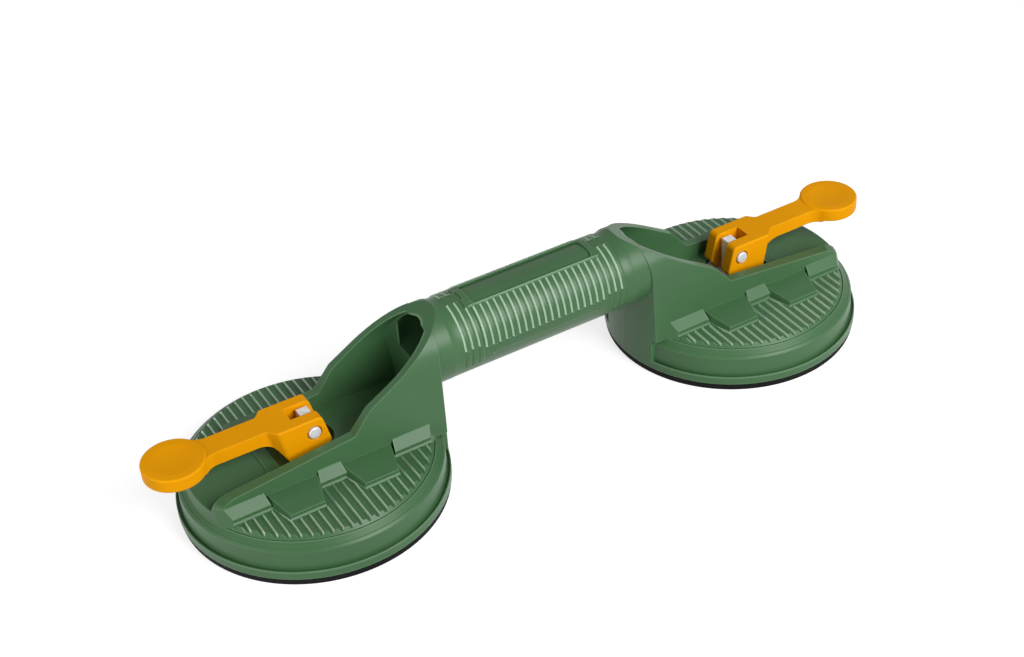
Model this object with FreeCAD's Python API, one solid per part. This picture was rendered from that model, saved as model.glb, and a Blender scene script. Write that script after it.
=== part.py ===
import FreeCAD, Part
import math
import os
from FreeCAD import Vector

# Twin cup suction lifter for floor tiles, in millimetres, +Z up.
# X runs along the handle, the origin lies midway between the cups on the surface they stand on.
# Every head is drawn at its own cup centre, with +X towards the handle, and then put in place.

# Driving sizes of the moulding
flange_radius = 59.0
head_gap = 100.9
pad_rim_thickness = 3.6
flange_edge_height = 3.9
flange_lip = 0.6
ledge_width = 1.7
ledge_groove = 0.8
rim_wall_height = 8.7
rim_wall_draft = 0.3
rim_bevel = 1.0
shoulder_step = 0.3
shoulder_width = 2.8
shoulder_rise = 2.1
outline_groove = 0.4
wall_thickness = 3.0

# Ribbed fields on both sides of the channel
field_depth = 0.7
rib_height = 1.0
rib_pitch = 4.0
rib_top_width = 1.7
rib_foot_width = 2.9
rib_end_chamfer = 1.7

# Channel, its rails and the pocket that the lever works in
channel_half_width = 15.8
channel_draft = 0.8
rail_width = 3.0
rail_height_at_stud = 34.6
rail_slope = 0.10
rail_wall_lean = 0.5
inner_floor_z = 28.3
floor_top_z = 26.0
floor_slope = 0.064
floor_step_start = 22.6
floor_step_height = 0.6
pocket_start = 17.0
pocket_radius = 11.3

# Outboard end of the rails, and the slanting hips that end both fields
end_foot_inset = 1.2
end_corner_radius = 52.65
end_corner_z = 27.45
end_round = 5.8
end_top_angle = 26.0
hip_reach = 51.5
hip_turn = 38.3
hip_lean = 13.0

# Facets, wedge buttresses and plinth on the outside of the rails
facet_top_drop = 6.7
facet_fall = 4.6
plinth_chamfer = 0.7
facet_half_width = 5.0
facet_flare = 1.2
end_facet_start = 29.8
wedge_offset = 17.0
wedge_reach = 15.3
wedge_fall = 2.2
wedge_gap = 2.4
wedge_inner_half = 11.7
wedge_outer_half = 7.1
wedge_foot_flare = 1.5

# Tower with its slanted opening, and the tube of the handle
tube_radius = 17.7
tube_axis_z = 52.2
tube_wall = 3.1
tower_wall = 3.4
tower_back_wall = 3.0
tower_end_round = 9.0
crown_rise = 1.1
tower_lean = 1.2
cut_start = 13.3
cut_knee_x = 21.5
cut_knee_z = 45.7
cut_angle = 30.8
collar_start = 45.0
collar_length = 4.5
collar_blend = 5.0

# Grip of the handle, with angles counted up from the front of the tube
grip_pitch = 3.275
grip_rib_count = 19
grip_ring_count = 3
grip_rib_top = 1.6
grip_rib_foot = 2.8
grip_base_height = 0.3
grip_rib_height = 0.6
grip_low_angle = 2.5
grip_high_angle = 63.0
ring_high_angle = 80.0
ring_kink_angle = 7.0
ring_low_angle = -24.0
ring_low_height = 0.3
panel_frame_half = 32.6
panel_half_length = 30.3
panel_angle = 66.5
panel_depth = 0.9
panel_corner = 3.0
panel_edge_rise = 0.45
lower_panel_angle = -12.0
lower_panel_half = 27.5
lower_panel_corner = 2.0
lower_panel_groove = 0.4

# Lever, pin and stud
pin_z = 37.85
lock_height = 11.95
lift_stroke = 3.0
lever_travel = 100.0
cam_ease = 0.2
seat_gap = 0.05
block_half_width = 9.7
block_top_z = 44.4
block_end_top = 4.3
block_end_round = 2.5
block_low_round = 2.0
block_edge_round = 0.8
block_end_low = 7.45
block_end_low_z = 30.8
block_outer_top = 15.7
block_outer_low = 11.4
block_lean = 0.19
arm_half_width = 5.65
arm_thickness = 6.4
arm_rise = 0.3
arm_flare = 3.6
flare_round = 2.0
under_corner = 18.2
under_round = 10.0
neck_radius = 8.0
thumb_radius = 13.45
thumb_inset = 1.0
thumb_rise = 0.7
thumb_dish_depth = 1.0
thumb_edge_round = 0.8
slot_half_width = 3.95
slot_end = 7.5
stud_side = 5.0
stud_top_z = 43.0
stud_gap = 0.35
pin_radius = 1.6
pin_running_gap = 0.05
pin_head_radius = 2.75
pin_head_height = 1.7
pin_head_sink = 1.0
pin_head_gap = 0.7
pin_chamfer = 0.35
ring_thickness = 0.9
ring_radius = 3.2
ring_grip_gap = 0.02

# Wear plate, pull plate, spring and rubber
wear_plate_thickness = 1.9
wear_plate_gap = 0.3
wear_plate_inner_end = 7.0
wear_plate_outer_end = 11.0
pull_plate_radius = 24.0
pull_plate_thickness = 2.5
rubber_under_plate = 3.0
lip_width = 15.0
dome_radius = 26.0
pad_collar = 3.0
pad_draft = 0.5
pad_edge_round = 0.8
ceiling_z = 17.0
rim_ceiling_z = 14.0
spring_wire = 1.2
spring_radius = 9.0
spring_turns = 3
spring_gap = 0.05

# Heights and radii that follow from the driving sizes
cup_spacing = 2 * flange_radius + head_gap
flange_top_z = pad_rim_thickness + flange_edge_height
wall_foot_radius = flange_radius - ledge_width
wall_top_radius = wall_foot_radius - rim_wall_draft
wall_top_z = flange_top_z + rim_wall_height
shoulder_foot_z = wall_top_z + rim_bevel
shoulder_radius = wall_top_radius - rim_bevel - shoulder_width
shoulder_z = shoulder_foot_z + shoulder_rise
field_z = shoulder_z + field_depth
rib_top_z = field_z + rib_height
rail_outer = channel_half_width + rail_width
facet_top_z = rail_height_at_stud - facet_top_drop
facet_top_y = rail_outer + rail_wall_lean
facet_low_y = facet_top_y + facet_fall
facet_low_z = facet_top_z - facet_fall
bore_radius = tube_radius - tube_wall
arch_radius = channel_half_width + tower_wall
crown_z = tube_axis_z + tube_radius + crown_rise
collar_end = flange_radius + collar_length
thumb_offset = flange_radius - thumb_inset
plate_top_z = pin_z - lock_height
pocket_floor_z = plate_top_z - wear_plate_thickness
dome_z = lift_stroke
pull_plate_z = dome_z + rubber_under_plate
pull_plate_top_z = pull_plate_z + pull_plate_thickness
far = flange_radius + 5.0
high = crown_z + 10.0
root = 1.0
tiny = 1e-6
origin = Vector(0, 0, 0)
up = Vector(0, 0, 1)
along_x = Vector(1, 0, 0)
along_y = Vector(0, 1, 0)
tube_centre = Vector(0, 0, tube_axis_z)


def face(corners, place):
    """A plane face through two-number corners, where a third number rounds the corner."""
    points = [place(*corner[:2]) for corner in corners]
    edges = []
    starts = []
    ends = []
    for index, corner in enumerate(corners):
        here = points[index]
        start, end = here, here
        if len(corner) == 3:
            to_before = (points[index - 1] - here).normalize()
            to_after = (points[(index + 1) % len(points)] - here).normalize()
            half = to_before.getAngle(to_after) / 2
            start = here + to_before * (corner[2] / math.tan(half))
            end = here + to_after * (corner[2] / math.tan(half))
            inward = (to_before + to_after).normalize()
            middle = here + inward * (corner[2] / math.sin(half) - corner[2])
            edges.append(Part.Arc(start, middle, end).toShape())
        starts.append(start)
        ends.append(end)
        if index and ends[index - 1].distanceToPoint(start) > tiny:
            edges.insert(len(edges) - (len(corner) == 3), Part.makeLine(ends[index - 1], start))
    if ends[-1].distanceToPoint(starts[0]) > tiny:
        edges.append(Part.makeLine(ends[-1], starts[0]))
    return Part.Face(Part.Wire(edges))


def turned(corners):
    """A solid of revolution about the stud's axis from (radius, height) corners."""
    return face(corners, lambda r, z: Vector(r, 0, z)).revolve(origin, up, 360)


def across(corners, half_width):
    """A prism across the head from (x, z) corners."""
    profile = face(corners, lambda x, z: Vector(x, -half_width, z))
    return profile.extrude(Vector(0, 2 * half_width, 0))


def lengthwise(corners, x0, x1):
    """A prism along the head from (y, z) corners."""
    return face(corners, lambda y, z: Vector(x0, y, z)).extrude(Vector(x1 - x0, 0, 0))


def upright(corners, z0, z1):
    """A prism that stands up from (x, y) corners."""
    return face(corners, lambda x, y: Vector(x, y, z0)).extrude(Vector(0, 0, z1 - z0))


def block(x0, x1, y0, y1, z0, z1):
    return Part.makeBox(x1 - x0, y1 - y0, z1 - z0, Vector(x0, y0, z0))


def both_sides(shape):
    """The shape and its mirror image on the other side of the channel."""
    return [shape, shape.mirror(origin, along_y)]


def rail_z(x):
    return rail_height_at_stud + rail_slope * x


def arch(half_low, low_z, radius, centre_z, x0, x1):
    """Leaning side walls that close in a half round."""
    foot_left = Vector(x0, -half_low, low_z)
    foot_right = Vector(x0, half_low, low_z)
    spring_left = Vector(x0, -radius, centre_z)
    spring_right = Vector(x0, radius, centre_z)
    crown = Vector(x0, 0, centre_z + radius)
    edges = [
        Part.makeLine(foot_left, foot_right),
        Part.makeLine(foot_right, spring_right),
        Part.Arc(spring_right, crown, spring_left).toShape(),
        Part.makeLine(spring_left, foot_left),
    ]
    return Part.Face(Part.Wire(edges)).extrude(Vector(x1 - x0, 0, 0))


def field_end():
    """The round shoulder and the four slanting hips that rails, plinth and facets run out on."""
    foot_r = shoulder_radius + end_foot_inset
    top_rise = end_corner_radius * math.tan(math.radians(end_top_angle))
    low_z = shoulder_foot_z
    round_form = turned([
        (0, low_z),
        (foot_r, low_z),
        (end_corner_radius, end_corner_z, end_round),
        (0, end_corner_z + top_rise),
    ])

    def diamond(z):
        reach = hip_reach - (z - shoulder_z) * math.tan(math.radians(hip_lean))
        x = reach / math.cos(math.radians(hip_turn))
        y = reach / math.sin(math.radians(hip_turn))
        return Part.makePolygon([Vector(x, 0, z), Vector(0, y, z), Vector(-x, 0, z),
                                 Vector(0, -y, z), Vector(x, 0, z)])

    hips = Part.makeLoft([diamond(low_z - root), diamond(high)], True, True)
    return round_form.common(hips)


def rim_disc():
    """The round head: flange, grooved ledge, wall, bevel, stepped shoulder and rib field."""
    bevel_radius = wall_top_radius - rim_bevel
    groove_radius = shoulder_radius - outline_groove
    field_radius = groove_radius - field_depth
    return turned([
        (0, pad_rim_thickness),
        (flange_radius, pad_rim_thickness),
        (flange_radius, flange_top_z),
        (flange_radius - flange_lip, flange_top_z),
        (flange_radius - flange_lip, flange_top_z - ledge_groove),
        (wall_foot_radius, flange_top_z - ledge_groove),
        (wall_top_radius, wall_top_z),
        (bevel_radius, shoulder_foot_z),
        (bevel_radius - shoulder_step, shoulder_foot_z),
        (shoulder_radius, shoulder_z),
        (shoulder_radius, shoulder_z - outline_groove),
        (groove_radius, shoulder_z - outline_groove),
        (groove_radius, shoulder_z),
        (field_radius, field_z),
        (0, field_z),
    ])


def comb(count, pitch, top_width, foot_width, base, top):
    """Corners of a row of sloping ribs, from the highest x to the lowest."""
    corners = []
    for index in range(count):
        centre = ((count - 1) / 2 - index) * pitch
        corners.append((centre + foot_width / 2, base))
        corners.append((centre + top_width / 2, top))
        corners.append((centre - top_width / 2, top))
        corners.append((centre - foot_width / 2, base))
    return corners


def ribs():
    """The comb of flat ribs across the head, cut to the round field with sloping ends."""
    count = 2 * int((shoulder_radius - rib_end_chamfer) / rib_pitch) + 1
    base_z = field_z - root
    row = comb(count, rib_pitch, rib_top_width, rib_foot_width, field_z, rib_top_z)
    field = across([(-far, base_z), (far, base_z), (far, field_z)] + row + [(-far, field_z)], far)
    low_r = shoulder_radius - outline_groove
    top_r = low_r - rib_end_chamfer
    envelope = turned([(0, base_z), (low_r, base_z), (low_r, rib_top_z - rib_end_chamfer),
                       (top_r, rib_top_z), (0, rib_top_z)])
    return field.common(envelope)


def spine():
    """Rails, tower and collar as one outer form, before the channel is cut from it."""
    foot_half = facet_top_y + rail_wall_lean
    outer = arch(foot_half + tower_lean / 2, shoulder_foot_z, arch_radius,
                 crown_z - arch_radius, -far, far)
    crown_x = cut_knee_x + (crown_z - cut_knee_z) / math.tan(math.radians(cut_angle))
    side = across([
        (-far, shoulder_foot_z),
        (far, shoulder_foot_z),
        (far, high),
        (crown_x + (high - crown_z) / math.tan(math.radians(cut_angle)), high),
        (cut_knee_x, cut_knee_z),
        (cut_start, rail_z(cut_start)),
        (-far, rail_z(-far)),
    ], far)
    outboard = outer.common(block(-far, 0, -far, far, 0, high)).common(field_end())
    inboard = outer.common(block(0, far, -far, far, field_z - root, high))
    inboard = inboard.common(Part.makeCylinder(flange_radius, high))
    grown = crown_rise / 2
    collar = Part.makeCylinder(tube_radius + grown, collar_end - collar_start,
                               Vector(collar_start, 0, tube_axis_z + grown), along_x)
    return outboard.multiFuse([inboard, collar]).common(side)


def collar_sweep():
    """The hollow curve from the collar down to the tube, level along the tube's underside."""
    grown = crown_rise / 2
    wires = []
    for step in (0, 1, 2, 3, 4):
        share = step / 4
        extra = grown * (1 - share) ** 2
        centre = Vector(collar_end + share * collar_blend, 0, tube_axis_z + extra)
        wires.append(Part.Wire(Part.makeCircle(tube_radius + extra, centre, along_x)))
    return Part.makeLoft(wires, True, False)


def rear_wall():
    """The tower's back, flush with the flange from the shoulder down."""
    half = facet_top_y - rail_width / 2
    wall = block(cut_start, far, -half, half, pad_rim_thickness, rib_top_z)
    return wall.common(Part.makeCylinder(flange_radius, high))


def facet(x0, x1, flare0, flare1):
    """A 45 degree face under the rail wall, wider at its foot, over a low upright face."""
    inside = channel_half_width + root
    profile = lengthwise([
        (-inside, shoulder_foot_z),
        (-inside, facet_top_z),
        (-facet_top_y, facet_top_z),
        (-facet_low_y, facet_low_z),
        (-facet_low_y, shoulder_foot_z),
    ], -far, far)
    plan = upright([
        (x0, -inside),
        (x0, -facet_top_y),
        (x0 - flare0, -facet_low_y),
        (x0 - flare0, -far),
        (x1 + flare1, -far),
        (x1 + flare1, -facet_low_y),
        (x1, -facet_top_y),
        (x1, -inside),
    ], shoulder_foot_z, high)
    return profile.common(plan)


def wedge(centre):
    """A buttress with a gently sloping trapezoid top between two facets."""
    top_z = facet_top_z - wedge_gap
    outer_y = facet_top_y + wedge_reach
    inside = channel_half_width + root
    profile = lengthwise([
        (-inside, field_z - root),
        (-inside, top_z),
        (-facet_top_y, top_z),
        (-outer_y, top_z - wedge_fall),
        (-outer_y, rib_top_z + plinth_chamfer),
        (-outer_y - plinth_chamfer, rib_top_z),
        (-outer_y - plinth_chamfer, field_z - root),
    ], centre - far, centre + far)

    def ring(z, grow):
        lean = (wedge_inner_half - wedge_outer_half) / wedge_reach
        back = wedge_inner_half + lean * (facet_top_y - inside) + grow
        front = wedge_outer_half - lean * plinth_chamfer + grow
        y_front = -outer_y - plinth_chamfer
        return Part.makePolygon([
            Vector(centre - back, -inside, z),
            Vector(centre + back, -inside, z),
            Vector(centre + front, y_front, z),
            Vector(centre - front, y_front, z),
            Vector(centre - back, -inside, z),
        ])

    taper = Part.makeLoft([ring(field_z - root, wedge_foot_flare), ring(top_z, 0)], True, True)
    return profile.common(taper)


def buttresses():
    """Plinth, three facets and two wedges of one side."""
    plinth_y = facet_low_y + plinth_chamfer
    plinth = lengthwise([
        (-channel_half_width - root, shoulder_foot_z),
        (-channel_half_width - root, rib_top_z + plinth_chamfer),
        (-facet_low_y, rib_top_z + plinth_chamfer),
        (-plinth_y, rib_top_z),
        (-plinth_y, shoulder_foot_z),
    ], -far, far)
    end_facets = [
        facet(-far, -end_facet_start, 0, facet_flare),
        facet(end_facet_start, far, facet_flare, 0),
    ]
    middle = [
        facet(-facet_half_width, facet_half_width, facet_flare, facet_flare),
        wedge(-wedge_offset),
        wedge(wedge_offset),
    ]
    return plinth.multiFuse(end_facets).common(field_end()).multiFuse(middle)


def tower_chamber():
    """Plan of the space inside the tower, with round corners at its back wall."""
    inside = Part.makeCylinder(flange_radius - tower_back_wall, high)
    inside = inside.common(block(0, far, -channel_half_width, channel_half_width, 0, high))
    corners = [edge for edge in inside.Edges
               if edge.BoundBox.XMin > flange_radius / 2 and edge.BoundBox.ZLength > high / 2]
    return inside.makeFillet(tower_end_round, corners)


def channel():
    """What is cut away between the rails and inside the tower."""
    low_half = channel_half_width - channel_draft
    opening = arch(low_half, inner_floor_z, channel_half_width, tube_axis_z, -far, far)
    below = block(-far, far, -low_half, low_half, pocket_floor_z - root, inner_floor_z)
    above_floor = across([
        (-far, floor_top_z - floor_slope * (far - floor_step_start)),
        (-floor_step_start, floor_top_z),
        (-floor_step_start, floor_top_z + floor_step_height),
        (-pocket_start, floor_top_z + floor_step_height),
        (-pocket_start, inner_floor_z),
        (far, inner_floor_z),
        (far, high),
        (-far, high),
    ], far)
    space = opening.fuse(below).common(above_floor)
    outboard = space.common(block(-far, 0, -far, far, 0, high))
    inboard = space.common(tower_chamber())
    pocket = Part.makeCylinder(pocket_radius, inner_floor_z - pocket_floor_z + root,
                               Vector(0, 0, pocket_floor_z))
    slot = block(-pocket_start, 0, -pocket_radius, pocket_radius,
                 pocket_floor_z, inner_floor_z + root)
    return outboard.multiFuse([inboard, pocket, slot])


def underside():
    """The open space under the head that the rubber's middle is drawn up into."""
    inner_radius = wall_foot_radius - wall_thickness
    roof_radius = inner_radius - wall_thickness
    hollow = turned([
        (0, 0),
        (inner_radius, 0),
        (inner_radius, rim_ceiling_z),
        (roof_radius, ceiling_z),
        (0, ceiling_z),
    ])
    half = channel_half_width - channel_draft
    core = block(cut_start, far, -half, half, ceiling_z - root, inner_floor_z - wall_thickness)
    hole_half = stud_side / 2 + stud_gap
    hole = block(-hole_half, hole_half, -hole_half, hole_half, 0, inner_floor_z)
    return hollow.multiFuse([core.common(Part.makeCylinder(inner_radius, high)), hole])


def head():
    """One complete head at its own cup centre."""
    solid = rim_disc().multiFuse([ribs(), spine(), rear_wall(), collar_sweep()]
                                 + both_sides(buttresses()))
    return solid.cut(channel()).cut(underside())


def around_tube(corners, low_angle, high_angle):
    """A form turned about the tube's axis from (x, radius) corners, between two angles."""
    profile = face(corners, lambda x, r: Vector(x, 0, tube_axis_z + r))
    form = profile.revolve(tube_centre, along_x, high_angle - low_angle)
    # The profile stands straight up and turns towards -Y.
    form.rotate(tube_centre, along_x, 90 - high_angle)
    return form


def ring_row(height, low_angle, high_angle):
    """The rings at both ends of the grip, which carry on the spacing of its ribs."""
    inner = tube_radius - root
    row = comb(grip_ring_count, grip_pitch, grip_rib_top, grip_rib_foot,
               tube_radius, tube_radius + height)
    middle = (grip_rib_count + grip_ring_count) / 2 * grip_pitch
    half = grip_ring_count * grip_pitch / 2
    rings = []
    for side in (-1, 1):
        centre = side * middle
        corners = [(centre - half, inner), (centre + half, inner), (centre + half, tube_radius)]
        corners += [(centre + x, r) for x, r in row]
        corners.append((centre - half, tube_radius))
        rings.append(around_tube(corners, low_angle, high_angle))
    return rings


def grip_ribs():
    """The ribs on the front of the tube, on a base that stands a little above it."""
    inner = tube_radius - root
    base = tube_radius + grip_base_height
    half = grip_rib_count * grip_pitch / 2
    row = comb(grip_rib_count, grip_pitch, grip_rib_top, grip_rib_foot,
               base, base + grip_rib_height)
    return around_tube([(-half, inner), (half, inner), (half, base)] + row + [(-half, base)],
                       grip_low_angle, grip_high_angle)


def panel_frame():
    """Raised frame round the shallow panel on top of the grip."""
    inner = tube_radius - root
    outer = tube_radius + grip_rib_height
    return around_tube([(-panel_frame_half, inner), (panel_frame_half, inner),
                        (panel_frame_half, outer), (-panel_frame_half, outer)],
                       grip_high_angle, 180 - grip_high_angle)


def on_tube(radius, angle):
    """The (y, z) place on a circle about the tube's axis, at an angle up from the front."""
    turn = math.radians(angle)
    return -radius * math.cos(turn), tube_axis_z + radius * math.sin(turn)


def panel_strip():
    """The sloping strip between the frame's long edge and the tops of the ribs."""
    outer = tube_radius + grip_rib_height
    low_y, low_z = on_tube(outer, grip_high_angle)
    top_y, top_z = on_tube(outer + panel_edge_rise, panel_angle)
    return lengthwise([(low_y, low_z), (top_y, top_z), (top_y, low_z - root),
                       (low_y, low_z - root)], -panel_frame_half, panel_frame_half)


def panel_recess():
    """The panel's own shape, sunk in its frame, with rounded corners."""
    outer = tube_radius + grip_rib_height
    half_width = -on_tube(outer + panel_edge_rise, panel_angle)[0]
    plan = upright([
        (-panel_half_length, -half_width, panel_corner),
        (panel_half_length, -half_width, panel_corner),
        (panel_half_length, half_width, panel_corner),
        (-panel_half_length, half_width, panel_corner),
    ], tube_axis_z, high)
    floor = Part.makeCylinder(outer - panel_depth, 2 * far, Vector(-far, 0, tube_axis_z), along_x)
    return plan.cut(floor)


def lower_panel_line():
    """The fine groove that outlines a plain panel under the grip."""
    low_z = tube_axis_z - 2 * tube_radius

    def outline(inset):
        half = lower_panel_half - inset
        top_z = on_tube(tube_radius, lower_panel_angle)[1] - inset
        profile = face([(-half, low_z), (half, low_z), (half, top_z, lower_panel_corner),
                        (-half, top_z, lower_panel_corner)],
                       lambda x, z: Vector(x, -2 * tube_radius, z))
        return profile.extrude(Vector(0, 4 * tube_radius, 0))

    core = Part.makeCylinder(tube_radius - lower_panel_groove, 2 * far,
                             Vector(-far, 0, tube_axis_z), along_x)
    return outline(0).cut(outline(lower_panel_groove)).cut(core)


def to_left(shape):
    """Move a head piece to the left cup."""
    moved = shape.copy()
    moved.translate(Vector(-cup_spacing / 2, 0, 0))
    return moved


def to_right(shape):
    """The same piece mirrored to the right cup."""
    return to_left(shape).mirror(origin, along_x)


def handle_body():
    """Both heads and the tube between them as one moulding."""
    one = head()
    tube_half = cup_spacing / 2 - collar_end - collar_blend
    tube = Part.makeCylinder(tube_radius, 2 * tube_half,
                             Vector(-tube_half, 0, tube_axis_z), along_x)
    front = ([grip_ribs(), panel_strip()]
             + ring_row(grip_rib_height, ring_kink_angle, ring_high_angle)
             + ring_row(ring_low_height, ring_low_angle, ring_kink_angle))
    back = [piece.mirror(origin, along_y) for piece in front]
    tube = tube.multiFuse(front + back + [panel_frame()])
    tube = tube.cut(panel_recess()).cut(lower_panel_line())
    solid = tube.multiFuse([to_left(one), to_right(one)])
    bore_half = cup_spacing / 2 - flange_radius + 2 * tower_back_wall
    bore = Part.makeCylinder(bore_radius, 2 * bore_half,
                             Vector(-bore_half, 0, tube_axis_z), along_x)
    return solid.cut(bore)


def cam_profile():
    """Foot of the lever, as the curve that stays just clear of its seat while the lever turns."""
    points = []
    fall = (lift_stroke + cam_ease) / lever_travel
    for step in range(0, 45, 5):
        angle = math.radians(270 - step)
        height = lock_height - seat_gap - fall * step
        slope = math.degrees(fall)
        x = height * math.cos(angle) - slope * math.sin(angle)
        z = height * math.sin(angle) + slope * math.cos(angle)
        points.append((-x, pin_z + z))
    return points


def lever_side():
    """Side view of block and arm, across the full width of the block."""
    cam = cam_profile()
    arm_low = block_top_z - arm_thickness
    side = across([
        (block_end_top, block_top_z, block_end_round),
        (0, block_top_z),
        (-thumb_offset, block_top_z + arm_rise),
        (-thumb_offset, arm_low + arm_rise),
        (-under_corner, arm_low, under_round),
        (-block_outer_low, cam[0][1]),
    ] + cam + [(block_end_low, block_end_low_z, block_low_round)], block_half_width)
    rims = [edge for edge in side.Edges
            if edge.BoundBox.YLength < tiny and edge.BoundBox.XMax > -tiny
            and edge.BoundBox.ZMin > cam[-1][1] + tiny]
    return side.makeFillet(block_edge_round, rims)


def lever_plan():
    """Widths of block, flare, arm and neck, where the flare leans as the block's end does."""
    top_z = block_top_z + root
    flare_x = -(block_outer_top + block_lean * root)
    neck_start = -(thumb_offset + flare_x) / 2 + flare_x
    flare = face([
        (2 * slot_end, -block_half_width),
        (flare_x, -block_half_width, flare_round),
        (flare_x - arm_flare, -arm_half_width, flare_round),
        (neck_start, -arm_half_width),
        (neck_start, arm_half_width),
        (flare_x - arm_flare, arm_half_width, flare_round),
        (flare_x, block_half_width, flare_round),
        (2 * slot_end, block_half_width),
    ], lambda x, y: Vector(x, y, top_z))
    flare = flare.extrude(Vector(block_lean * top_z, 0, -top_z))
    reach = thumb_radius + neck_radius
    rise = arm_half_width + neck_radius
    run = math.sqrt(reach ** 2 - rise ** 2)
    turn = math.atan2(run, rise)
    corner_x = -(thumb_offset - run) - neck_radius * math.tan(turn / 2)
    touch_x = -thumb_offset + run * thumb_radius / reach
    touch_y = rise * thumb_radius / reach
    neck = upright([
        (neck_start / 2 + flare_x / 2, -arm_half_width),
        (corner_x, -arm_half_width, neck_radius),
        (touch_x, -touch_y),
        (-thumb_offset, -touch_y),
        (-thumb_offset, touch_y),
        (touch_x, touch_y),
        (corner_x, arm_half_width, neck_radius),
        (neck_start / 2 + flare_x / 2, arm_half_width),
    ], 0, high)
    return flare.fuse(neck)


def lever():
    """Round thumb pad, flat arm and forked block with its cam foot, in one moulding."""
    low_z = block_top_z - arm_thickness + thumb_rise
    top_z = block_top_z + thumb_rise
    thumb = turned([
        (0, low_z),
        (thumb_radius, low_z, thumb_edge_round),
        (thumb_radius, top_z, thumb_edge_round),
        (0, top_z),
    ])
    dish_radius = (thumb_radius ** 2 + thumb_dish_depth ** 2) / (2 * thumb_dish_depth)
    thumb = thumb.cut(Part.makeSphere(dish_radius, Vector(
        0, 0, top_z - thumb_dish_depth / 2 + dish_radius)))
    thumb.translate(Vector(-thumb_offset, 0, 0))
    solid = lever_side().common(lever_plan())
    inside_thumb = Part.makeCylinder(thumb_radius - thumb_edge_round, high,
                                     Vector(-thumb_offset, 0, 0))
    solid = solid.cut(inside_thumb).fuse(thumb)
    slot = block(-slot_end, far, -slot_half_width, slot_half_width, 0, high)
    hole = Part.makeCylinder(pin_radius + ring_grip_gap, 2 * far,
                             Vector(0, -far, pin_z), along_y)
    sink_radius = pin_head_radius + pin_head_gap
    sink = Part.makeCylinder(sink_radius, pin_head_sink,
                             Vector(0, -block_half_width, pin_z), along_y)
    return solid.cut(slot).cut(hole).cut(sink)


def lever_pin():
    """Headed pin through the fork and the stud, with its head in the counterbore."""
    head_y = -block_half_width + pin_head_sink
    head_end = head_y - pin_head_height
    shank_end = block_half_width + 2 * ring_thickness
    profile = face([
        (0, head_end),
        (pin_head_radius - pin_chamfer, head_end),
        (pin_head_radius, head_end + pin_chamfer),
        (pin_head_radius, head_y),
        (pin_radius, head_y),
        (pin_radius, shank_end - pin_chamfer),
        (pin_radius - pin_chamfer, shank_end),
        (0, shank_end),
    ], lambda r, y: Vector(r, y, pin_z))
    return profile.revolve(Vector(0, 0, pin_z), along_y, 360)


def pin_ring():
    """Push-on ring that holds the pin's plain end."""
    ring = Part.makeCylinder(ring_radius, ring_thickness,
                             Vector(0, block_half_width, pin_z), along_y)
    hole = Part.makeCylinder(pin_radius + ring_grip_gap, 2 * ring_thickness,
                             Vector(0, block_half_width - ring_thickness / 2, pin_z), along_y)
    return ring.cut(hole)


def lift_stud():
    """Square stud, cross drilled for the pin, standing on the pull plate."""
    half = stud_side / 2
    bar = block(-half, half, -half, half, pull_plate_top_z, stud_top_z)
    hole = Part.makeCylinder(pin_radius + pin_running_gap, 2 * stud_side,
                             Vector(0, -stud_side, pin_z), along_y)
    return bar.cut(hole)


def wear_plate():
    """Steel plate in the pocket that the cam feet press on."""
    radius = pocket_radius - wear_plate_gap
    round_end = Part.makeCylinder(radius, wear_plate_thickness, Vector(0, 0, pocket_floor_z))
    round_end = round_end.common(block(0, wear_plate_inner_end, -radius, radius, 0, high))
    straight = block(-wear_plate_outer_end, 0, -radius, radius, pocket_floor_z, plate_top_z)
    half = stud_side / 2 + stud_gap
    hole = block(-half, half, -half, half, 0, high)
    return round_end.fuse(straight).cut(hole)


def pull_plate():
    """Steel disc bonded into the rubber under the stud."""
    return Part.makeCylinder(pull_plate_radius, pull_plate_thickness,
                             Vector(0, 0, pull_plate_z))


def rubber_pad():
    """Rubber disc drawn up into a shallow dome, as it is with the lever locked."""
    lip_inner = flange_radius - lip_width
    shelf = flange_radius - lip_width + pad_collar
    crown = pull_plate_radius + pad_collar
    return turned([
        (0, dome_z),
        (dome_radius, dome_z),
        (lip_inner, 0),
        (flange_radius - pad_draft, 0, pad_edge_round),
        (flange_radius, pad_rim_thickness),
        (shelf, pad_rim_thickness),
        (crown, pull_plate_top_z),
        (pull_plate_radius, pull_plate_top_z),
        (pull_plate_radius, pull_plate_z),
        (0, pull_plate_z),
    ])


def return_spring():
    """Coil between the roof of the head and the pull plate, drawn as rising half turns."""
    height = ceiling_z - pull_plate_top_z - spring_wire - 2 * spring_gap
    low_z = pull_plate_top_z + spring_wire / 2 + spring_gap
    rise = height / (2 * spring_turns)
    arcs = []
    for index in range(2 * spring_turns):
        side = 1 - 2 * (index % 2)
        z = low_z + index * rise
        arcs.append(Part.Arc(
            Vector(side * spring_radius, 0, z),
            Vector(0, side * spring_radius, z + rise / 2),
            Vector(-side * spring_radius, 0, z + rise)).toShape())
    path = Part.Wire(arcs)
    circle = Part.Wire(Part.makeCircle(spring_wire / 2, Vector(spring_radius, 0, low_z), along_y))
    return path.makePipeShell([circle], True, False)


os.makedirs("parts", exist_ok=True)
handle_body().exportStep("parts/handle_body.step")
pieces = {
    "rubber_pad": rubber_pad,
    "pull_plate": pull_plate,
    "lift_stud": lift_stud,
    "wear_plate": wear_plate,
    "lever": lever,
    "lever_pin": lever_pin,
    "pin_ring": pin_ring,
}
for name, make in pieces.items():
    shape = make()
    to_left(shape).exportStep("parts/" + name + "_left.step")
    to_right(shape).exportStep("parts/" + name + "_right.step")

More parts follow.
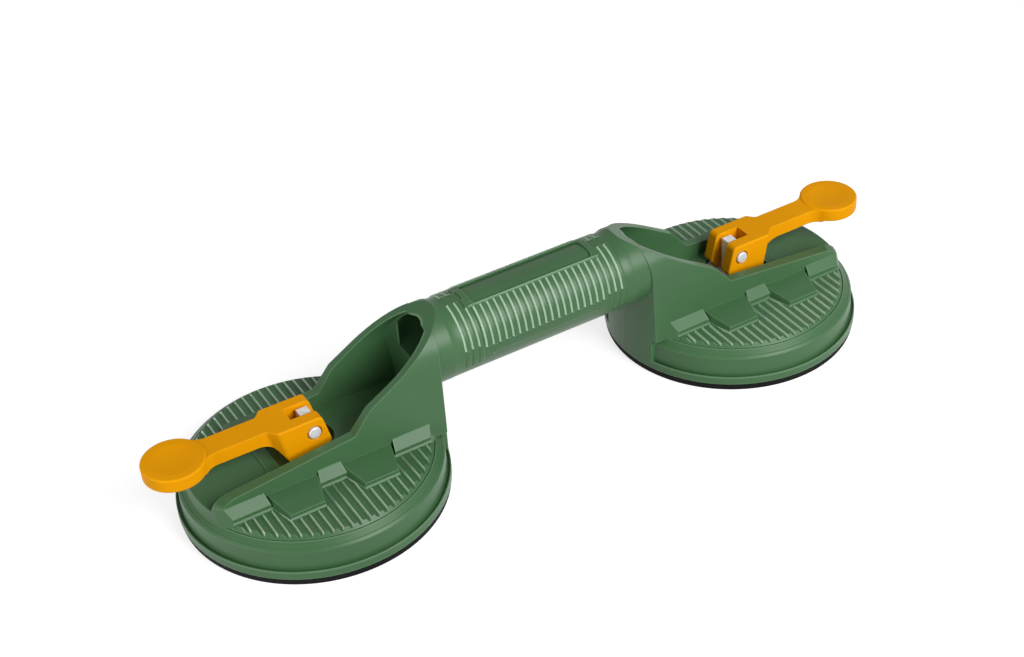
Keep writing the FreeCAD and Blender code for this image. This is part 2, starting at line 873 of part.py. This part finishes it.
# Both springs are wound the same way, so the right one is moved and not mirrored.
spring = return_spring()
to_left(spring).exportStep("parts/return_spring_left.step")
spring.translate(Vector(cup_spacing / 2, 0, 0))
spring.exportStep("parts/return_spring_right.step")
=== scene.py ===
import bmesh
import bpy
import math
from mathutils import Matrix, Vector


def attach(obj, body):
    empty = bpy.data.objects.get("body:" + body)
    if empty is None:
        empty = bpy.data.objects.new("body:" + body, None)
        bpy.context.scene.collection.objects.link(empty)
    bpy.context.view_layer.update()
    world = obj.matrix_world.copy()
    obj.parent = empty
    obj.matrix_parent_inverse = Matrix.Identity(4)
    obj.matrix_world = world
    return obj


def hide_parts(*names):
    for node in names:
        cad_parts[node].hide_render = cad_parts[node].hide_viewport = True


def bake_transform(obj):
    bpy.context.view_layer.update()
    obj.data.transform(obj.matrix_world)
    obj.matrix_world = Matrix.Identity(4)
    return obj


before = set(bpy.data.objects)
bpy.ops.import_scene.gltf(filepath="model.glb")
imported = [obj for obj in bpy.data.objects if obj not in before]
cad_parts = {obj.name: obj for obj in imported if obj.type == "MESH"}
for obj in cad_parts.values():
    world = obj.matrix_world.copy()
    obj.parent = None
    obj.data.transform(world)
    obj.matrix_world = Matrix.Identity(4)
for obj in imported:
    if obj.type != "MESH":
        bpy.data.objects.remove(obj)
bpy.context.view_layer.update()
scene = bpy.context.scene
sides = ("left", "right")
print("frame loaded")


# small helpers shared by every material

nodeSpacing = 220


def addNode(tree, kind, **settings):
    node = tree.nodes.new(kind)
    node.location.x = nodeSpacing * len(tree.nodes)
    for name, value in settings.items():
        setattr(node, name, value)
    return node


def feed(tree, value, socket):
    if isinstance(value, bpy.types.NodeSocket):
        tree.links.new(value, socket)
    else:
        socket.default_value = value


def addMath(tree, operation, first, second=0.0):
    node = addNode(tree, "ShaderNodeMath", operation=operation)
    feed(tree, first, node.inputs[0])
    feed(tree, second, node.inputs[1])
    return node.outputs[0]


def addRange(tree, value, low, high, toLow, toHigh):
    node = addNode(tree, "ShaderNodeMapRange")
    feed(tree, value, node.inputs["Value"])
    feed(tree, low, node.inputs["From Min"])
    feed(tree, high, node.inputs["From Max"])
    feed(tree, toLow, node.inputs["To Min"])
    feed(tree, toHigh, node.inputs["To Max"])
    return node.outputs["Result"]


# inputs 6 and 7 of a colour mix are its two colours, and output 2 is the result

def addTint(tree, factor, first, second):
    node = addNode(tree, "ShaderNodeMix", data_type="RGBA")
    feed(tree, factor, node.inputs["Factor"])
    feed(tree, first, node.inputs[6])
    feed(tree, second, node.inputs[7])
    return node.outputs[2]


def addNoise(tree, coords, scale, detail):
    node = addNode(tree, "ShaderNodeTexNoise")
    feed(tree, coords, node.inputs["Vector"])
    feed(tree, scale, node.inputs["Scale"])
    feed(tree, detail, node.inputs["Detail"])
    return node.outputs["Fac"]


def addOpenness(tree, distance, inside):
    node = addNode(tree, "ShaderNodeAmbientOcclusion", samples=6, only_local=True, inside=inside)
    feed(tree, distance, node.inputs["Distance"])
    return node.outputs["AO"]


def splitAxes(tree, vector):
    node = addNode(tree, "ShaderNodeSeparateXYZ")
    feed(tree, vector, node.inputs[0])
    return node.outputs


# two colours in soft patches, and the noise that they follow

def addPatches(tree, coords, s):
    noise = addNoise(tree, coords, s["patchScale"], s["patchDetail"])
    share = addRange(tree, noise, *s["patchRange"], 0, 1)
    return addTint(tree, share, s["patchColour"], s["colour"]), noise


# a surface with rounded edges and a fine grain

def addGrain(tree, coords, shader, s):
    rounded = addNode(tree, "ShaderNodeBevel", samples=s["edgeSamples"])
    feed(tree, s["edgeRadius"], rounded.inputs["Radius"])
    bump = addNode(tree, "ShaderNodeBump")
    feed(tree, s["grainStrength"], bump.inputs["Strength"])
    feed(tree, s["grainDepth"], bump.inputs["Distance"])
    feed(tree, addNoise(tree, coords, s["grainScale"], s["grainDetail"]), bump.inputs["Height"])
    feed(tree, rounded.outputs["Normal"], bump.inputs["Normal"])
    feed(tree, bump.outputs["Normal"], shader.inputs["Normal"])


def newMaterial(name):
    material = bpy.data.materials.new(name)
    material.use_nodes = True
    tree = material.node_tree
    tree.nodes.clear()
    place = addNode(tree, "ShaderNodeTexCoord")
    shader = addNode(tree, "ShaderNodeBsdfPrincipled")
    output = addNode(tree, "ShaderNodeOutputMaterial")
    feed(tree, shader.outputs[0], output.inputs[0])
    return material, tree, place, shader


def paint(nodeName, material):
    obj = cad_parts[nodeName]
    obj.data.materials.clear()
    obj.data.materials.append(material)


# moulded plastic, green and orange: cloudy colour, painted shade in creases and grooves, painted highlights
# along thin edges

greenPlastic = {
    "colour": (0.052, 0.138, 0.054, 1),
    "patchColour": (0.046, 0.124, 0.048, 1),
    "patchScale": 22,
    "patchDetail": 3,
    "patchRange": (0.35, 0.65),
    "creaseShadeColour": (0.015, 0.062, 0.017, 1),
    "creaseReach": 0.0013,
    "creaseRange": (0.10, 0.60),
    "edgeHighlightColour": (0.22, 0.38, 0.22, 1),
    "edgeHighlightShare": 0.45,
    "edgeHighlightRange": (0.9, 0.45),
    "roughness": (0.34, 0.42),
    "roughnessRange": (0.3, 0.7),
    "specular": 0.32,
    "edgeRadius": 0.00035,
    "edgeSamples": 6,
    "grainScale": 2400,
    "grainDetail": 2,
    "grainStrength": 0.12,
    "grainDepth": 0.00005,
}

orangePlastic = greenPlastic | {
    "colour": (0.86, 0.352, 0.0012, 1),
    "patchColour": (0.81, 0.328, 0.0010, 1),
    "patchScale": 30,
    "creaseShadeColour": (0.42, 0.150, 0.0005, 1),
    "creaseReach": 0.0014,
    "edgeHighlightColour": (0.98, 0.47, 0.012, 1),
    "edgeHighlightShare": 0.5,
    "roughness": (0.42, 0.50),
    "specular": 0.05,
    "edgeRadius": 0.0005,
    "grainStrength": 0.06,
}

# painted highlight: a pale green on the rib sides that face the left end
ribFlankHighlight = {
    "colour": (0.70, 0.93, 0.71, 1),
    "facingRange": (-0.55, -0.80),
    "gripHalfLength": 0.0425,
    "panelHalfLength": 0.0345,
    "panelHalfWidth": 0.0076,
    "cupDistance": 0.10945,
    "fieldHalfLength": 0.0435,
    "fieldHeights": (0.0199, 0.0211),
    "fieldShare": 0.70,
}


# a painted highlight, with a share of up to 1, on the sides of the ribs that face the left end, on the grip
# and on the round heads

def addFlankHighlight(tree, place, s):
    x, y, z = splitAxes(tree, place.outputs["Object"])
    facing = splitAxes(tree, place.outputs["Normal"])[0]
    steep = addRange(tree, facing, *s["facingRange"], 0, 1)
    length = addMath(tree, "ABSOLUTE", x)
    width = addMath(tree, "ABSOLUTE", y)
    onGrip = addMath(tree, "LESS_THAN", length, s["gripHalfLength"])
    besidePanel = addMath(tree, "MAXIMUM",
                          addMath(tree, "GREATER_THAN", width, s["panelHalfWidth"]),
                          addMath(tree, "GREATER_THAN", length, s["panelHalfLength"]))
    grip = addMath(tree, "MULTIPLY", onGrip, besidePanel)
    lowest, highest = s["fieldHeights"]
    level = addMath(tree, "MULTIPLY",
                    addMath(tree, "GREATER_THAN", z, lowest),
                    addMath(tree, "LESS_THAN", z, highest))
    fromCup = addMath(tree, "ABSOLUTE", addMath(tree, "SUBTRACT", length, s["cupDistance"]))
    amongRibs = addMath(tree, "LESS_THAN", fromCup, s["fieldHalfLength"])
    field = addMath(tree, "MULTIPLY", addMath(tree, "MULTIPLY", level, amongRibs), s["fieldShare"])
    return addMath(tree, "MULTIPLY", steep, addMath(tree, "ADD", grip, field))


def makePlastic(name, s, flankHighlight=None):
    material, tree, place, shader = newMaterial(name)
    coords = place.outputs["Object"]
    colour, clouds = addPatches(tree, coords, s)
    # painted shade: the colour turns darker where nearby surfaces hem the spot in, in creases, grooves and
    # tight corners
    creaseShade = addRange(tree, addOpenness(tree, s["creaseReach"], False), *s["creaseRange"], 0, 1)
    colour = addTint(tree, creaseShade, s["creaseShadeColour"], colour)
    # painted highlight: thin convex edges are tinted paler
    thickness = addOpenness(tree, s["edgeRadius"] * 2, True)
    edge = addRange(tree, thickness, *s["edgeHighlightRange"], 0, s["edgeHighlightShare"])
    colour = addTint(tree, edge, colour, s["edgeHighlightColour"])
    # painted highlight on the rib sides that face the left end
    if flankHighlight:
        colour = addTint(tree, addFlankHighlight(tree, place, flankHighlight), colour, flankHighlight["colour"])
    feed(tree, colour, shader.inputs["Base Color"])
    feed(tree, addRange(tree, clouds, *s["roughnessRange"], *s["roughness"]), shader.inputs["Roughness"])
    feed(tree, s["specular"], shader.inputs["Specular IOR Level"])
    addGrain(tree, coords, shader, s)
    return material


# black rubber, with a dull bloom in soft patches

padRubber = {
    "colour": (0.016, 0.016, 0.016, 1),
    "patchColour": (0.010, 0.010, 0.010, 1),
    "patchScale": 26,
    "patchDetail": 4,
    "patchRange": (0.4, 0.7),
    "roughness": 0.75,
    "specular": 0.06,
    "edgeRadius": 0.0005,
    "edgeSamples": 4,
    "grainScale": 1800,
    "grainDetail": 3,
    "grainStrength": 0.2,
    "grainDepth": 0.00005,
}


def makeRubber(name, s):
    material, tree, place, shader = newMaterial(name)
    coords = place.outputs["Object"]
    feed(tree, addPatches(tree, coords, s)[0], shader.inputs["Base Color"])
    feed(tree, s["roughness"], shader.inputs["Roughness"])
    feed(tree, s["specular"], shader.inputs["Specular IOR Level"])
    addGrain(tree, coords, shader, s)
    return material


# zinc plated steel, with the faint spangle and fine scratches of small plated pieces

zincSteel = {
    "colour": (0.93, 0.93, 0.94, 1),
    "patchColour": (0.74, 0.74, 0.76, 1),
    "patchScale": 420,
    "patchDetail": 3,
    "patchRange": (0.35, 0.65),
    "roughness": (0.50, 0.34),
    "metallic": 0.35,
    "edgeRadius": 0.0004,
    "edgeSamples": 6,
    "grainScale": 1500,
    "grainDetail": 2,
    "grainStrength": 0.10,
    "grainDepth": 0.00003,
}


def makeSteel(name, s):
    material, tree, place, shader = newMaterial(name)
    coords = place.outputs["Object"]
    colour, spangle = addPatches(tree, coords, s)
    feed(tree, colour, shader.inputs["Base Color"])
    feed(tree, addRange(tree, spangle, *s["patchRange"], *s["roughness"]), shader.inputs["Roughness"])
    feed(tree, s["metallic"], shader.inputs["Metallic"])
    addGrain(tree, coords, shader, s)
    return material


steelPieces = ("lever_pin_", "pin_ring_", "lift_stud_", "pull_plate_", "wear_plate_", "return_spring_")
green = makePlastic("green_plastic", greenPlastic, ribFlankHighlight)
orange = makePlastic("orange_plastic", orangePlastic)
rubber = makeRubber("black_rubber", padRubber)
steel = makeSteel("zinc_steel", zincSteel)

paint("handle_body", green)
for side in sides:
    paint("lever_" + side, orange)
    for piece in steelPieces:
        paint(piece + side, steel)
print("materials made")


# rubber pads: a rim that stays under the head, and a separate middle

cupCentres = {"left": -0.10945, "right": 0.10945}

rubberPad = {
    "radius": 0.059,
    "footRadius": 0.0585,
    "edgeRound": 0.0008,
    "rimHeight": 0.0036,
    "split": 0.047,
    "splitGap": 0.00003,
    "lipInner": 0.044,
    "domeRadius": 0.026,
    "domeHeight": 0.003,
    "crownRadius": 0.027,
    "crownHeight": 0.0085,
    "plateRadius": 0.024,
    "plateHeight": 0.006,
    "slopeParts": 10,
    "wallParts": 4,
    "roundParts": 5,
    "turnParts": 160,
    "sharpAngle": 25,
    "weldDistance": 1e-6,
}


def between(first, second, parts):
    return [tuple(a + (b - a) * i / parts for a, b in zip(first, second)) for i in range(1, parts)]


# the closed solid that a profile of (radius, height) corners sweeps about the cup's axis

def turnPiece(name, profile, centreX, s):
    mesh = bmesh.new()
    ring = [mesh.verts.new((radius, 0, z)) for radius, z in profile]
    pairs = list(zip(ring, ring[1:]))
    if profile[0][0] > 0:
        pairs.append((ring[-1], ring[0]))
    edges = [mesh.edges.new(pair) for pair in pairs]
    bmesh.ops.spin(mesh, geom=ring + edges, cent=(0, 0, 0), axis=(0, 0, 1), dvec=(0, 0, 0),
                   angle=2 * math.pi, steps=s["turnParts"], use_merge=True, use_normal_flip=False,
                   use_duplicate=False)
    bmesh.ops.remove_doubles(mesh, verts=mesh.verts, dist=s["weldDistance"])
    bmesh.ops.translate(mesh, verts=mesh.verts, vec=(centreX, 0, 0))
    bmesh.ops.recalc_face_normals(mesh, faces=mesh.faces)
    for face in mesh.faces:
        face.smooth = True
    for edge in mesh.edges:
        edge.smooth = edge.calc_face_angle(0) < math.radians(s["sharpAngle"])
    data = bpy.data.meshes.new(name)
    mesh.to_mesh(data)
    mesh.free()
    data.materials.append(rubber)
    obj = bpy.data.objects.new(name, data)
    scene.collection.objects.link(obj)
    return obj


def makePadRim(side, s):
    turns = [i * math.pi / 2 / s["roundParts"] for i in range(s["roundParts"] + 1)]
    corner = [(s["footRadius"] - s["edgeRound"] * (1 - math.sin(turn)), s["edgeRound"] * (1 - math.cos(turn)))
              for turn in turns]
    profile = [(s["split"], 0)] + corner + [(s["radius"], s["rimHeight"]), (s["split"], s["rimHeight"])]
    rim = turnPiece("pad_rim_" + side, profile, cupCentres[side], s)
    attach(rim, "handle")
    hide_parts("rubber_pad_" + side)


def makePadMiddle(side, s):
    dome, lip = (s["domeRadius"], s["domeHeight"]), (s["lipInner"], 0)
    foot, shoulder = (s["split"] - s["splitGap"], 0), (s["split"] - s["splitGap"], s["rimHeight"])
    crown = (s["crownRadius"], s["crownHeight"])
    profile = [(0, s["domeHeight"]), dome]
    profile += between(dome, lip, s["slopeParts"]) + [lip, foot]
    profile += between(foot, shoulder, s["wallParts"]) + [shoulder]
    profile += between(shoulder, crown, s["slopeParts"]) + [crown]
    profile += [(s["plateRadius"], s["crownHeight"]), (s["plateRadius"], s["plateHeight"]),
                (0, s["plateHeight"])]
    centreX = cupCentres[side]
    middle = turnPiece("pad_middle_" + side, profile, centreX, s)
    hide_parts("rubber_pad_" + side)
    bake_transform(middle)


# return springs: a copy of each coil takes the place of the part

def makeSpring(side):
    node = "return_spring_" + side
    spring = bpy.data.objects.new("coil_" + side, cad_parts[node].data.copy())
    scene.collection.objects.link(spring)
    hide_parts(node)
    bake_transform(spring)


for side in sides:
    makePadRim(side, rubberPad)
    makePadMiddle(side, rubberPad)
    makeSpring(side)
print("pads and springs made")


# floor and surroundings: white where the camera sees them, and dimmer as a source of light

studio = {
    "floorColour": (0.55, 0.55, 0.55, 1),
    "floorGlow": 0.74,
    "floorSize": 8.0,
    "bounceColour": (0.30, 0.30, 0.30, 1),
    "skyColour": (1, 1, 1, 1),
    "seenStrength": 1.0,
    "mirroredStrength": 0.70,
    "ambientStrength": 0.20,
}


def addSight(tree):
    path = addNode(tree, "ShaderNodeLightPath")
    seen = addMath(tree, "MAXIMUM", path.outputs["Is Camera Ray"], path.outputs["Is Transmission Ray"])
    return seen, path.outputs["Is Glossy Ray"]


def makeFloor(s):
    material = bpy.data.materials.new("floor_pale")
    material.use_nodes = True
    tree = material.node_tree
    tree.nodes.clear()
    pale = addMath(tree, "MAXIMUM", *addSight(tree))
    bounce = addNode(tree, "ShaderNodeBsdfDiffuse")
    feed(tree, s["bounceColour"], bounce.inputs["Color"])
    diffuse = addNode(tree, "ShaderNodeBsdfDiffuse")
    feed(tree, s["floorColour"], diffuse.inputs["Color"])
    glow = addNode(tree, "ShaderNodeEmission")
    feed(tree, s["floorGlow"], glow.inputs["Strength"])
    bright = addNode(tree, "ShaderNodeAddShader")
    feed(tree, diffuse.outputs[0], bright.inputs[0])
    feed(tree, glow.outputs[0], bright.inputs[1])
    mix = addNode(tree, "ShaderNodeMixShader")
    feed(tree, pale, mix.inputs[0])
    feed(tree, bounce.outputs[0], mix.inputs[1])
    feed(tree, bright.outputs[0], mix.inputs[2])
    output = addNode(tree, "ShaderNodeOutputMaterial")
    feed(tree, mix.outputs[0], output.inputs[0])
    bpy.ops.mesh.primitive_plane_add(size=s["floorSize"])
    floor = bpy.context.object
    floor.name = "floor"
    floor.data.materials.append(material)


def makeWorld(s):
    world = bpy.data.worlds.new("studio_world")
    world.use_nodes = True
    tree = world.node_tree
    background = tree.nodes["Background"]
    feed(tree, s["skyColour"], background.inputs["Color"])
    seen, mirrored = addSight(tree)
    unseen = addRange(tree, mirrored, 0, 1, s["ambientStrength"], s["mirroredStrength"])
    feed(tree, addRange(tree, seen, 0, 1, unseen, s["seenStrength"]), background.inputs["Strength"])
    scene.world = world


lamps = {
    "key": {"place": (0.33, -1.02, 0.76), "target": (0, 0, 0.03), "size": (0.75, 0.75), "power": 17.5},
    "left_panel": {"place": (-1.15, -0.10, 0.25), "target": (0, 0, 0.05), "size": (0.8, 0.4), "power": 6},
}


def makeLamp(name, s):
    data = bpy.data.lights.new(name, "AREA")
    data.shape = "RECTANGLE"
    data.size, data.size_y = s["size"]
    data.energy = s["power"]
    lamp = bpy.data.objects.new(name, data)
    scene.collection.objects.link(lamp)
    lamp.location = s["place"]
    lamp.rotation_euler = (Vector(s["target"]) - Vector(s["place"])).to_track_quat("-Z", "Y").to_euler()


# the camera stands where the photograph was taken from, with angles in degrees

camera = {
    "place": (-0.30183, -0.54266, 0.50150),
    "azimuth": -28.42,
    "elevation": 36.68,
    "roll": -4.12,
    "lens": 61.72,
    "sensorWidth": 36,
    "clip": (0.01, 20),
}


def makeCamera(s):
    azimuth, elevation, roll = (math.radians(s[name]) for name in ("azimuth", "elevation", "roll"))
    back = Vector((math.sin(azimuth) * math.cos(elevation),
                   -math.cos(azimuth) * math.cos(elevation),
                   math.sin(elevation)))
    right = Vector((math.cos(azimuth), math.sin(azimuth), 0))
    up = back.cross(right)
    rolledRight = math.cos(roll) * right + math.sin(roll) * up
    rolledUp = math.cos(roll) * up - math.sin(roll) * right
    data = bpy.data.cameras.new("camera")
    data.lens = s["lens"]
    data.sensor_width = s["sensorWidth"]
    data.clip_start, data.clip_end = s["clip"]
    obj = bpy.data.objects.new("camera", data)
    scene.collection.objects.link(obj)
    turn = Matrix((rolledRight, rolledUp, back)).transposed()
    obj.matrix_world = Matrix.Translation(s["place"]) @ turn.to_4x4()
    scene.camera = obj


makeFloor(studio)
makeWorld(studio)
for name, settings in lamps.items():
    makeLamp(name, settings)
makeCamera(camera)
scene.view_settings.view_transform = "Standard"
print("studio made")
